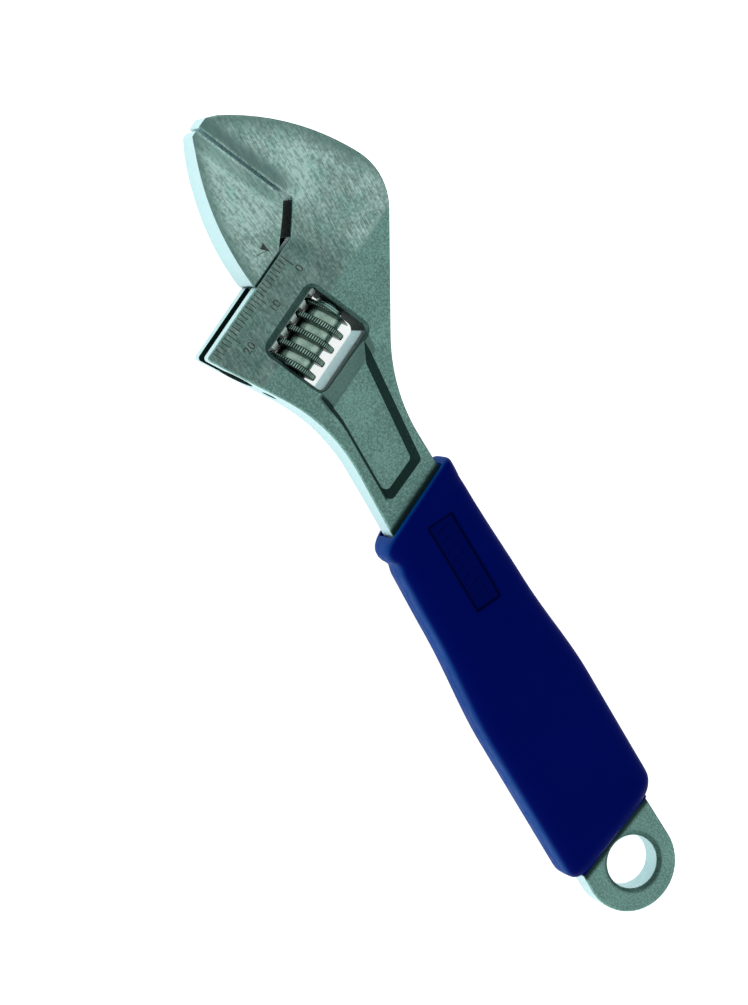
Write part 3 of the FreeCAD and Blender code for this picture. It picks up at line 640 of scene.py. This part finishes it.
def etched_marks():
    """Dull dark bottom of the etched scale and pointer."""
    material, tree, shader, coords = new_material("etched_mark")
    grain = use(tree, BLASTED, Vector=coords["Object"], Size=0.3)
    colour = mixed(tree, ramp(tree, grain["Tone"], 0.50, 1.0), ENGRAVED, ENGRAVED_LIGHT)
    plug(tree, shader.inputs["Base Color"], colour)
    shader.inputs["Metallic"].default_value = 0.2
    plug(tree, shader.inputs["Roughness"], ramp(tree, grain["Tone"], 0, 1, 0.55, 0.7))
    return material


def moulded_vinyl():
    """Glossy navy vinyl with soft waviness, a painted highlight on its sides, darker in the label with painted
    shade on its walls and ribs, and pale along the seam.
    """
    material, tree, shader, coords = new_material("grip_vinyl")
    place = coords["Object"]
    lean = steepness(tree, coords["Normal"])
    cloud = use(tree, MOTTLE, Vector=place, Size=22.0)
    skin = use(tree, BLASTED, Vector=place, Size=0.6)
    dust = use(tree, MOTTLE, Vector=place, Size=3.0)
    split = add(tree, "SeparateXYZ", Vector=place).outputs
    from_eye_x = math_node(tree, "DIVIDE", math_node(tree, "SUBTRACT", split["X"], EYE.x), MM)
    from_eye_y = math_node(tree, "DIVIDE", math_node(tree, "SUBTRACT", split["Y"], EYE.y), MM)

    # Painted highlight: the sides are a paler, brighter blue than the top.
    side_highlight = ramp(tree, lean, 0.35, 0.95)
    colour = mixed(tree, side_highlight, GRIP_TOP, GRIP_SIDE_HIGHLIGHT)
    colour = mixed(tree, math_node(tree, "MULTIPLY", cloud["Tone"], 0.30), colour, GRIP_CLOUD)
    # The label is a little darker; its walls and ribs get painted shade, on the top only.
    label = together(tree, between(tree, from_eye_x, *LABEL_X, 0.4),
                     between(tree, from_eye_y, *LABEL_Y, 0.4))
    label = math_node(tree, "MULTIPLY", label, ramp(tree, lean, 0.004, 0.04, 0.22, 0.98))
    label = math_node(tree, "MULTIPLY", label, ramp(tree, split["Z"], MIDDLE, MIDDLE + 2 * MM))
    colour = mixed(tree, label, colour, GRIP_LABEL_DARK_AND_SHADE)
    off = math_node(tree, "ABSOLUTE", math_node(tree, "SUBTRACT", split["Z"], MIDDLE))
    seam = ramp(tree, off, 0.45 * MM, 0.15 * MM)
    colour = mixed(tree, math_node(tree, "MULTIPLY", seam, 0.5), colour, GRIP_SEAM)
    plug(tree, shader.inputs["Base Color"], colour)
    plug(tree, shader.inputs["Roughness"], ramp(tree, dust["Tone"], 0, 1, 0.40, 0.52))
    shader.inputs["Specular IOR Level"].default_value = 0.02
    shader.inputs["Specular Tint"].default_value = (0.0, 0.25, 1.0, 1)
    relief = math_node(tree, "ADD", math_node(tree, "MULTIPLY", skin["Height"], 0.10),
                       math_node(tree, "MULTIPLY", cloud["Tone"], 1.5))
    plug(tree, shader.inputs["Normal"], bumped(tree, relief, 0.5, 0.12 * MM))
    return material


FORGED = steel_surface(
    "forged_steel", ground_from=-13.5, working_edge=0.0, grain_angle=0.0, hollows=body_hollow_shade,
    light=body_highlight_and_grind, rim=crown_rim, scoop=0.9)
JAW_STEEL = steel_surface(
    "jaw_steel", ground_from=-0.5, working_edge=REST_GAP / MM, grain_angle=math.radians(-7),
    hollows=jaw_hollow_shade, light=jaw_highlight_and_grind, rim=jaw_rim, scoop=0.5, painted_highlight=rack_tooth_highlight)
WORM_STEEL = worm_finish()
PIN_STEEL = turned_steel("pin_steel", STEEL_MID, STEEL_DEEP, 0.32)
SPRING_STEEL = turned_steel("spring_steel", STEEL_LIGHT, STEEL_MID, 0.22)
MARK = etched_marks()
VINYL = moulded_vinyl()


def dress(node, material):
    """Give a node of the frame its material."""
    for place in frame["nodes"][node].material_slots:
        place.material = material


dress("wrench_body", FORGED)
dress("movable_jaw", JAW_STEEL)
dress("worm_pin", PIN_STEEL)
dress("worm_spring", SPRING_STEEL)


# ---- worm with a knurled thread ------------------------------------------------------------
WORM_ROOT = 4.1 * MM
WORM_BORE = 1.7 * MM
WORM_PITCH = 3.5 * MM
CREST_HALF = 0.55 * MM        # half widths of the thread
ROOT_HALF = 0.95 * MM
THREAD_EASE = 0.18 * MM       # rounding of the crest
THREAD_SINK = 0.5 * MM        # how far the thread goes into the barrel
THREAD_END = 0.5 * MM         # how much lower the thread is at the ends of the worm
WORM_CHAMFER = 0.25 * MM
WORM_SIDES = 96
CREST_PLACE = 18.45 * MM     # a crest that faces the rack, from the head point
KNURLS_PER_TURN = 66
KNURL_DEPTH = 0.22 * MM
STEPS_PER_KNURL = 2


def worm_ends():
    """Where the worm starts and ends along the slide, from the head point."""
    places = [(v.co - HEAD_POINT).dot(SLIDE) for v in frame["nodes"]["worm"].data.vertices]
    return min(places), max(places)


def knurled_worm():
    """Barrel and one right-hand thread whose crest is cut into fine teeth."""
    start, end = worm_ends()
    length = end - start
    first = CREST_PLACE - start - math.ceil((CREST_PLACE - start) / WORM_PITCH + 1) * WORM_PITCH
    turns = math.ceil(length / WORM_PITCH) + 3
    steps = KNURLS_PER_TURN * STEPS_PER_KNURL
    side = [
        (WORM_ROOT - THREAD_SINK, ROOT_HALF), (WORM_ROOT, ROOT_HALF),
        (WORM_TIP - THREAD_EASE, CREST_HALF + THREAD_EASE / 3), (WORM_TIP, CREST_HALF - THREAD_EASE),
    ]
    outline = [(r, -z) for r, z in side] + [(r, z) for r, z in reversed(side)]

    bm = bmesh.new()
    ring = [bm.verts.new((r, 0, first + z)) for r, z in outline]
    edges = [bm.edges.new((a, b)) for a, b in zip(ring, ring[1:] + ring[:1])]
    bmesh.ops.spin(
        bm, geom=ring + edges, cent=(0, 0, 0), axis=(0, 0, 1),
        dvec=(0, 0, WORM_PITCH / steps), angle=2 * math.pi * turns,
        steps=steps * turns, use_merge=False, use_duplicate=False)
    for vert in bm.verts:
        radius = math.hypot(vert.co.x, vert.co.y)
        if radius < WORM_TIP - THREAD_EASE / 2:
            continue
        turn = math.atan2(vert.co.y, vert.co.x) / (2 * math.pi) * steps
        if round(turn) % STEPS_PER_KNURL:
            shrink = (radius - KNURL_DEPTH) / radius
            vert.co.x *= shrink
            vert.co.y *= shrink
    for place, clear in ((0, -1), (length, 1)):
        bmesh.ops.bisect_plane(
            bm, geom=bm.verts[:] + bm.edges[:] + bm.faces[:], plane_co=(0, 0, place),
            plane_no=(0, 0, clear), clear_outer=True)
        rim = [e for e in bm.edges if e.is_boundary
               and all(abs(v.co.z - place) < SAME_PLACE for v in e.verts)]
        bmesh.ops.edgeloop_fill(bm, edges=rim)
    for vert in bm.verts:
        inside = min(vert.co.z, length - vert.co.z)
        radius = math.hypot(vert.co.x, vert.co.y)
        most = WORM_TIP - THREAD_END + inside
        if radius > most:
            vert.co.x *= most / radius
            vert.co.y *= most / radius

    lathe = [
        (WORM_BORE, 0), (WORM_ROOT - WORM_CHAMFER, 0), (WORM_ROOT, WORM_CHAMFER),
        (WORM_ROOT, length - WORM_CHAMFER), (WORM_ROOT - WORM_CHAMFER, length), (WORM_BORE, length),
    ]
    ring = [bm.verts.new((r, 0, z)) for r, z in lathe]
    edges = [bm.edges.new((a, b)) for a, b in zip(ring, ring[1:] + ring[:1])]
    bmesh.ops.spin(bm, geom=ring + edges, cent=(0, 0, 0), axis=(0, 0, 1), dvec=(0, 0, 0),
                   angle=2 * math.pi, steps=WORM_SIDES, use_merge=True, use_duplicate=False)
    bmesh.ops.remove_doubles(bm, verts=bm.verts[:], dist=MERGE)
    bmesh.ops.recalc_face_normals(bm, faces=bm.faces[:])

    origin = WORM_AXIS + SLIDE * (start - (WORM_AXIS - HEAD_POINT).dot(SLIDE))
    turn = Matrix((JAWS, -UP, SLIDE)).transposed().to_4x4()
    bm.transform(Matrix.Translation(origin) @ turn)
    worm = finished(bm, "knurled_worm", WORM_STEEL, "worm", 30)
    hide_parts("worm")


knurled_worm()


# ---- grip sleeve ---------------------------------------------------------------------------------
GRIP_HALF = 7.0 * MM
MOUTH_X = 96.4 * MM           # from the eye, on the handle axis
TAIL_X = 7.4 * MM
SECTION_POWER = 4.6           # how square the rounded cross section is
GRIP_WIDTH = 13.9 * MM        # half width at the tail
SECTION_SIZE = (12, 7)        # rough half width and half thickness, in millimetres
BEAD = 0.70 * MM              # swelling behind the mouth
CREASE = -0.45 * MM           # hollow behind the swelling
CREASE_BACK = 5.6 * MM        # from the mouth
BEAD_FAR_SIDE = 0.15          # share of both on the side away from the movable jaw
SHANK_HALF = 3.5 * MM
SHANK_WIDTH = 10.9 * MM       # half width at the eye
SHANK_TAPER = 3.3 / 120.3
NECK_START = 93.0 * MM        # where the shank starts to thicken
NECK_SLOPE = 0.065
TAIL_RADIUS = 4.6 * MM
LIP_RADIUS = 1.4 * MM
LIP_DEPTH = 3.0 * MM          # how far the mouth narrows into the tunnel
TUNNEL_GAP = 0.15 * MM
LIP_GAP = 0.75 * MM
RING_STEP = 0.9 * MM
LABEL_STEP = 0.34 * MM        # closer rings across the label
LABEL_DEPTH = 0.35 * MM
LABEL_WALL = 0.5              # millimetres
RIB_HEIGHT = 0.13 * MM
RIB_PITCH = 2.3               # millimetres
SEAM_HEIGHT = 0.12 * MM
AROUND = 160


def eased(value, low, high):
    """0 below low, 1 above high and smooth between."""
    t = min(max((value - low) / (high - low), 0), 1)
    return t * t * (3 - 2 * t)


def bell(value, centre, reach):
    """Smooth hump of height 1."""
    return math.exp(-((value - centre) / reach) ** 2)


def section_points():
    """Evenly spaced points round the cross section, from -1 to 1 both ways."""
    fine = 200 * AROUND
    power = 2 / SECTION_POWER
    points = []
    for i in range(fine):
        angle = 2 * math.pi * i / fine
        c, d = math.cos(angle), math.sin(angle)
        points.append((math.copysign(abs(c) ** power, c), math.copysign(abs(d) ** power, d)))
    run = [0]
    for (y, z), (last_y, last_z) in zip(points[1:] + points[:1], points):
        run.append(run[-1] + math.hypot((y - last_y) * SECTION_SIZE[0], (z - last_z) * SECTION_SIZE[1]))
    chosen = []
    i = 0
    for k in range(AROUND):
        while run[i] < run[-1] * k / AROUND:
            i += 1
        chosen.append(points[i % fine])
    return chosen


def grip_width(x, back, side):
    """Half width of the sleeve on one side; back is the distance behind its mouth."""
    width = GRIP_WIDTH - 1.9 * MM * eased(x, 42 * MM, 70 * MM)
    width -= 0.8 * MM * eased(x, 66 * MM, 92 * MM)
    bead = BEAD * bell(back, 2.2 * MM, 2.0 * MM)
    crease = CREASE * bell(back, CREASE_BACK, 1.3 * MM)
    return width + (bead + crease) * (1 if side > 0 else BEAD_FAR_SIDE)


def grip_thickness(x, back):
    """Half thickness of the sleeve."""
    thick = GRIP_HALF - 0.2 * MM * eased(x, 40 * MM, 90 * MM)
    bead = 0.12 * MM * bell(back, 2.0 * MM, 1.6 * MM)
    return thick + bead - 0.18 * MM * bell(back, CREASE_BACK, 1.4 * MM)


def shank_width(x):
    """Half width of the shank inside the sleeve."""
    return SHANK_WIDTH - SHANK_TAPER * x


def shank_thickness(x):
    """Half thickness of the shank, which grows towards the neck."""
    return SHANK_HALF + max(0, x - NECK_START) * NECK_SLOPE


def label_relief(x, y):
    """Height of the top face at a place: the sunk label with its slanting ribs."""
    inside = min(x / MM - LABEL_X[0], LABEL_X[1] - x / MM, y / MM - LABEL_Y[0], LABEL_Y[1] - y / MM)
    sunk = eased(inside, 0, LABEL_WALL)
    rib = math.sin(2 * math.pi * (x / MM + 0.25 * y / MM) / RIB_PITCH)
    ribs = eased(rib, 0.1, 0.5) * eased(inside, 1.1, 1.5)
    return ribs * RIB_HEIGHT - sunk * LABEL_DEPTH


def quarter_round(radius, count):
    """Steps of a rounded end, each (distance from the end, distance inwards)."""
    steps = []
    for i in range(count + 1):
        angle = math.pi / 2 * i / count
        steps.append((radius * (1 - math.sin(angle)), radius * (1 - math.cos(angle))))
    return steps[::-1]


def grip_rings():
    """Rings of the sleeve, each (distance from the tail, distance inwards, in the tunnel).

    They run over the outside from tail to mouth and back through the tunnel.
    """
    length = MOUTH_X - TAIL_X
    rings = [(s, inward, False) for s, inward in quarter_round(TAIL_RADIUS, 10)]
    label = (LABEL_X[0] * MM - TAIL_X - 2 * MM, LABEL_X[1] * MM - TAIL_X + 2 * MM)
    s = TAIL_RADIUS
    while s < length - LIP_RADIUS - 1.0 * MM:
        s += LABEL_STEP if label[0] < s < label[1] else RING_STEP
        rings.append((s, 0, False))
    rings += [(length - s, inward, False) for s, inward in reversed(quarter_round(LIP_RADIUS, 8))]
    rings.append((length, LIP_GAP, True))
    rings.append((length - 0.4 * MM, LIP_GAP * 0.85, True))
    rings.append((length - LIP_DEPTH, 0.20 * MM, True))
    for i in range(1, 10):
        rings.append(((length - LIP_DEPTH) * (1 - i / 9), TUNNEL_GAP, True))
    return rings, length


def grip_sleeve():
    """Sleeve spun as a ring of sections, each shaped for its place."""
    rings, length = grip_rings()
    section = section_points()
    bm = bmesh.new()
    line = [bm.verts.new((i, 1, 0)) for i in range(len(rings))]
    edges = [bm.edges.new((a, b)) for a, b in zip(line, line[1:] + line[:1])]
    bmesh.ops.spin(bm, geom=line + edges, cent=(0, 0, 0), axis=(1, 0, 0), dvec=(0, 0, 0),
                   angle=2 * math.pi, steps=AROUND, use_merge=True, use_duplicate=False)
    for vert in bm.verts:
        s, inward, tunnel = rings[round(vert.co.x)]
        place = round(math.atan2(vert.co.z, vert.co.y) / (2 * math.pi) * AROUND) % AROUND
        c, d = section[place]
        x = TAIL_X + s
        lean = TAIL_LEAN + (MOUTH_LEAN - TAIL_LEAN) * s / length
        if tunnel:
            y = c * SECTION_SIZE[0]
            z = d * SECTION_SIZE[1]
            reach = 1 / max(abs(y) / (shank_width(x) + inward), abs(z) / (shank_thickness(x) + inward))
            y *= reach
            z *= reach
        else:
            back = length - s
            y = c * (grip_width(x - c * SECTION_SIZE[0] * MM * lean, back, c) - inward)
            z = d * (grip_thickness(x, back) - inward)
            if place in (0, AROUND // 2) and inward == 0:
                y += math.copysign(SEAM_HEIGHT, c)
            if d > 0.9:
                z += label_relief(x - y * lean, y)
        vert.co = EYE + Vector((x - y * lean, y, z))
    bmesh.ops.remove_doubles(bm, verts=bm.verts[:], dist=MERGE)
    bmesh.ops.recalc_face_normals(bm, faces=bm.faces[:])
    grip = finished(bm, "grip_moulding", VINYL, "body", 50)
    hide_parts("grip_sleeve")


grip_sleeve()


# ---- scale and pointer -----------------------------------------------------------------------------
MARK_SINK = 0.010 * MM
MARK_PROUD = 0.012 * MM
TICK_WIDTH = 0.22 * MM
TICK_START = -0.35 * MM     # from the bed
LONG_TICK = 3.6 * MM
SHORT_TICK = 2.1 * MM
TICKS = 26
SCALE_STEP = 1.0 * MM
SCALE_ZERO = 11.4 * MM      # of the zero line, from the head point
SCALE_NUMBERS = (("0", -5.3, 11.1), ("10", -5.6, 20.6), ("20", -6.2, 31.0))
DIGIT_HEIGHT = 1.9 * MM
POINTER = ((4.2, 11.5), (4.0, 12.9), (1.9, 12.1))
SCRATCH = ((3.7, 14.6), (3.4, 13.8), (3.1, 13.1), (2.6, 12.5))
SCRATCH_WIDTH = 0.14        # millimetres


def add_bar(bm, p_from, p_to, q, width):
    """Thin bar along the jaws, let into the face of the head."""
    middle = on_head((p_from + p_to) / 2, q, HEAD_TOP + (MARK_PROUD - MARK_SINK) / 2)
    size = Matrix.Diagonal((abs(p_to - p_from), width, MARK_PROUD + MARK_SINK, 1))
    turn = Matrix((JAWS, SLIDE, UP)).transposed().to_4x4()
    made = bmesh.ops.create_cube(bm, size=1, matrix=Matrix.Translation(middle) @ turn @ size)
    edges = list({e for v in made["verts"] for e in v.link_edges
                  if abs(e.verts[0].co.z - e.verts[1].co.z) > SAME_PLACE})
    bmesh.ops.bevel(bm, geom=edges, offset=width * 0.3, offset_type="OFFSET", affect="EDGES",
                    segments=2, profile=0.5, material=-1)


def add_patch(bm, corners):
    """Flat patch raised from its corners, which lie just under the face of the head."""
    face = bm.faces.new([bm.verts.new(c) for c in corners])
    made = bmesh.ops.extrude_face_region(bm, geom=[face])
    top = [g for g in made["geom"] if isinstance(g, bmesh.types.BMVert)]
    bmesh.ops.translate(bm, verts=top, vec=(0, 0, MARK_PROUD + MARK_SINK))
    bmesh.ops.recalc_face_normals(bm, faces=bm.faces[:])


def add_stroke(bm, start, end, width):
    """Straight scratch between two places, in millimetres, let into the face of the head."""
    ends = [on_head(p * MM, q * MM, HEAD_TOP - MARK_SINK) for p, q in (start, end)]
    side = (ends[1] - ends[0]).cross(UP).normalized() * width / 2 * MM
    add_patch(bm, [ends[0] + side, ends[1] + side, ends[1] - side, ends[0] - side])


def add_digits(bm, text, p, q, height):
    """Number set along the slide, its foot towards the worm."""
    curve = bpy.data.curves.new("digits", "FONT")
    curve.body = text
    curve.size = height * 1.4
    curve.align_x = "CENTER"
    curve.align_y = "CENTER"
    curve.extrude = (MARK_PROUD + MARK_SINK) / 2
    curve.resolution_u = 6
    holder = bpy.data.objects.new("digits", curve)
    bpy.context.collection.objects.link(holder)
    bpy.context.view_layer.update()
    mesh = bpy.data.meshes.new_from_object(holder.evaluated_get(bpy.context.evaluated_depsgraph_get()))
    turn = Matrix((-SLIDE, JAWS, UP)).transposed().to_4x4()
    place = on_head(p, q, HEAD_TOP + (MARK_PROUD - MARK_SINK) / 2)
    mesh.transform(Matrix.Translation(place) @ turn)
    bm.from_mesh(mesh)
    bpy.data.objects.remove(holder)
    bpy.data.meshes.remove(mesh)


def scale_marks():
    """Millimetre scale along the bed with a number every ten lines."""
    bm = bmesh.new()
    for i in range(TICKS):
        reach = SHORT_TICK if i % 10 else LONG_TICK
        add_bar(bm, TICK_START, TICK_START - reach, SCALE_ZERO + i * SCALE_STEP, TICK_WIDTH)
    for number, p, q in SCALE_NUMBERS:
        add_digits(bm, number, p * MM, q * MM, DIGIT_HEIGHT)
    finished(bm, "scale_marks", MARK, "body")


def jaw_pointer():
    """Solid triangle on the movable jaw that points at the scale, and a scratch beside it."""
    bm = bmesh.new()
    add_patch(bm, [on_head(p * MM, q * MM, HEAD_TOP - MARK_SINK) for p, q in POINTER])
    for start, end in zip(SCRATCH, SCRATCH[1:]):
        add_stroke(bm, start, end, SCRATCH_WIDTH)
    finished(bm, "jaw_pointer", MARK, "jaw")


scale_marks()
jaw_pointer()


# ---- floor, light and camera ------------------------------------------------------------------------
FLOOR_HALF = 4.0
FLOOR_GLOW = 0.75
SKY_LEVEL = (1.0, 1.0, 1.0, 1)       # from the horizon upwards
SKY_OVERHEAD = (0.62, 0.62, 0.62, 1)
SOFTBOX_PLACE = (-0.25, 0.95, 0.55)
SOFTBOX_SIZE = 0.9
SOFTBOX_POWER = 2.0
AIM = Vector((11.3, 10.2, 7.0)) * MM
DISTANCE = 595.1 * MM
AZIMUTH = math.radians(45.78)
ELEVATION = math.radians(70.74)
ROLL = math.radians(101.7)
FOCAL_LENGTH = 99.5
SENSOR_WIDTH = 36


def pale_floor():
    """Large pale floor that glows a little, like a light table."""
    material, tree, shader, coords = new_material("pale_floor")
    cloud = use(tree, MOTTLE, Vector=coords["Object"], Size=160.0)
    colour = mixed(tree, cloud["Tone"], (0.90, 0.91, 0.91, 1), (0.92, 0.92, 0.92, 1))
    plug(tree, shader.inputs["Base Color"], colour)
    shader.inputs["Roughness"].default_value = 0.8
    shader.inputs["Specular IOR Level"].default_value = 0.1
    shader.inputs["Emission Color"].default_value = (1.0, 1.0, 1.0, 1)
    shader.inputs["Emission Strength"].default_value = FLOOR_GLOW
    bm = bmesh.new()
    bmesh.ops.create_grid(bm, x_segments=2, y_segments=2, size=FLOOR_HALF)
    mesh = bpy.data.meshes.new("floor")
    bm.to_mesh(mesh)
    bm.free()
    mesh.materials.append(material)
    floor = bpy.data.objects.new("floor", mesh)
    bpy.context.collection.objects.link(floor)


def soft_sky():
    """Even bright surroundings that dim overhead, as inside a light tent."""
    world = bpy.data.worlds.new("light_tent")
    bpy.context.scene.world = world
    world.use_nodes = True
    tree = world.node_tree
    shine = tree.nodes["Background"]
    way = tree.nodes.new("ShaderNodeTexCoord").outputs["Generated"]
    height = add(tree, "SeparateXYZ", Vector=way).outputs["Z"]
    colour = mixed(tree, ramp(tree, height, 0.35, 0.85), SKY_LEVEL, SKY_OVERHEAD)
    plug(tree, shine.inputs["Color"], colour)
    shine.inputs["Strength"].default_value = 1.0


def softbox(name, place, size, power):
    """Square area light that faces the middle of the wrench."""
    light = bpy.data.lights.new(name, "AREA")
    light.size = size
    light.energy = power
    holder = bpy.data.objects.new(name, light)
    bpy.context.collection.objects.link(holder)
    holder.location = place
    holder.rotation_euler = (-Vector(place)).to_track_quat("-Z", "Y").to_euler()


def stand_camera():
    """Long lens above the open side of the head."""
    lens = bpy.data.cameras.new("camera")
    lens.lens = FOCAL_LENGTH
    lens.sensor_width = SENSOR_WIDTH
    lens.clip_start = 0.01
    holder = bpy.data.objects.new("camera", lens)
    bpy.context.collection.objects.link(holder)
    level = math.cos(ELEVATION)
    back = Vector((level * math.cos(AZIMUTH), level * math.sin(AZIMUTH), math.sin(ELEVATION)))
    across = UP.cross(back).normalized()
    above = back.cross(across)
    right = across * math.cos(ROLL) + above * math.sin(ROLL)
    top = back.cross(right)
    turn = Matrix((right, top, back)).transposed().to_4x4()
    holder.matrix_world = Matrix.Translation(AIM + back * DISTANCE) @ turn
    bpy.context.scene.camera = holder


pale_floor()
soft_sky()
softbox("side_box", SOFTBOX_PLACE, SOFTBOX_SIZE, SOFTBOX_POWER)
stand_camera()
bpy.context.scene.view_settings.view_transform = "Standard"
